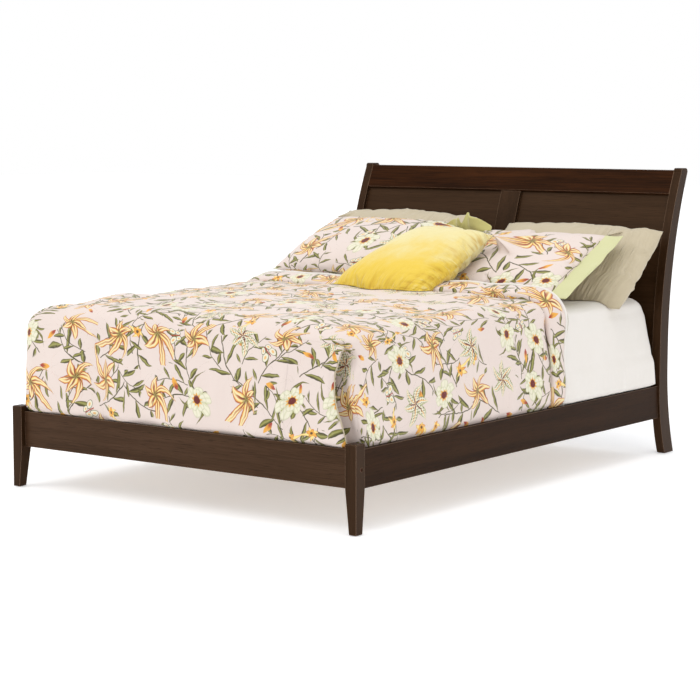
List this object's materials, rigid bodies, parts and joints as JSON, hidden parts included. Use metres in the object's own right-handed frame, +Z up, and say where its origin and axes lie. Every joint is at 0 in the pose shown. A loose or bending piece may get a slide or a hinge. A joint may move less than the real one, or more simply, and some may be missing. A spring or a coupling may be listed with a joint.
{
  "type": "sleigh bed",
  "caption": "Queen-size platform sleigh bed with a curved panel headboard, low open foot rail, mattress and floral bedding.",
  "frame": {"origin": "middle of the bed on the floor: centre of the bounding box in X and Y, z = 0 under the post glides", "axes": "+X across the bed to the right-hand side seen from the foot, +Y from the foot to the headboard, +Z up"},
  "size_m": [1.63, 2.338, 1.192],
  "materials": {
    "dark_wood": "hardwood stained dark espresso brown, satin lacquer",
    "slat_wood": "plain sanded pine",
    "dowel_wood": "fluted beech dowel",
    "zinc_steel": "zinc plated steel",
    "leveler_plastic": "black moulded plastic pad on a steel stud",
    "glide_nylon": "brown nylon glide",
    "mattress_ticking": "off-white quilted ticking",
    "white_cotton": "smooth white cotton percale",
    "floral_cotton": null,
    "beige_cotton": "smooth beige cotton",
    "yellow_velvet": "short pile yellow velvet"
  },
  "bodies": {
    "root": {"beam_bracket_foot": "zinc_steel", "beam_bracket_head": "zinc_steel", "bottom_sheet": "white_cotton", "box_spring": "mattress_ticking", "bracket_screws": "zinc_steel", "centre_beam": "slat_wood", "centre_stile": "dark_wood", "crest_rail": "dark_wood", "duvet": "floral_cotton", "floral_pillow_left": "floral_cotton", "floral_pillow_right": "floral_cotton", "foot_post_left": "dark_wood", "foot_post_right": "dark_wood", "foot_rail": "dark_wood", "foot_rail_barrel_nuts": "zinc_steel", "foot_rail_bolts": "zinc_steel", "foot_rail_dowels": "dowel_wood", "head_post_left": "dark_wood", "head_post_right": "dark_wood", "headboard_dowels": "dowel_wood", "headboard_lower_rail": "dark_wood", "headboard_panel_left": "dark_wood", "headboard_panel_right": "dark_wood", "ledger_screws": "zinc_steel", "leg_screws": "zinc_steel", "leg_tee_nuts": "zinc_steel", "mattress": "mattress_ticking", "pillow_left": "beige_cotton", "pillow_right": "beige_cotton", "post_glides": "glide_nylon", "post_slot_plates": "zinc_steel", "rail_hook_plates": "zinc_steel", "side_rail_left": "dark_wood", "side_rail_right": "dark_wood", "slat_01": "slat_wood", "slat_02": "slat_wood", "slat_03": "slat_wood", "slat_04": "slat_wood", "slat_05": "slat_wood", "slat_06": "slat_wood", "slat_07": "slat_wood", "slat_08": "slat_wood", "slat_09": "slat_wood", "slat_10": "slat_wood", "slat_11": "slat_wood", "slat_12": "slat_wood", "slat_13": "slat_wood", "slat_ledger_left": "slat_wood", "slat_ledger_right": "slat_wood", "slat_screws": "zinc_steel", "support_leg_foot_end": "slat_wood", "support_leg_head_end": "slat_wood", "throw_pillow": "yellow_velvet"},
    "leveler_foot": {"leveler_foot_end": "leveler_plastic"},
    "leveler_head": {"leveler_head_end": "leveler_plastic"}
  },
  "joints": [
    {"name": "leveler_foot_extend", "type": "slide", "parent": "root", "child": "leveler_foot", "axis": [0, 0, -1], "range_m": [0, 0.012]},
    {"name": "leveler_head_extend", "type": "slide", "parent": "root", "child": "leveler_head", "axis": [0, 0, -1], "range_m": [0, 0.012]}
  ]
}
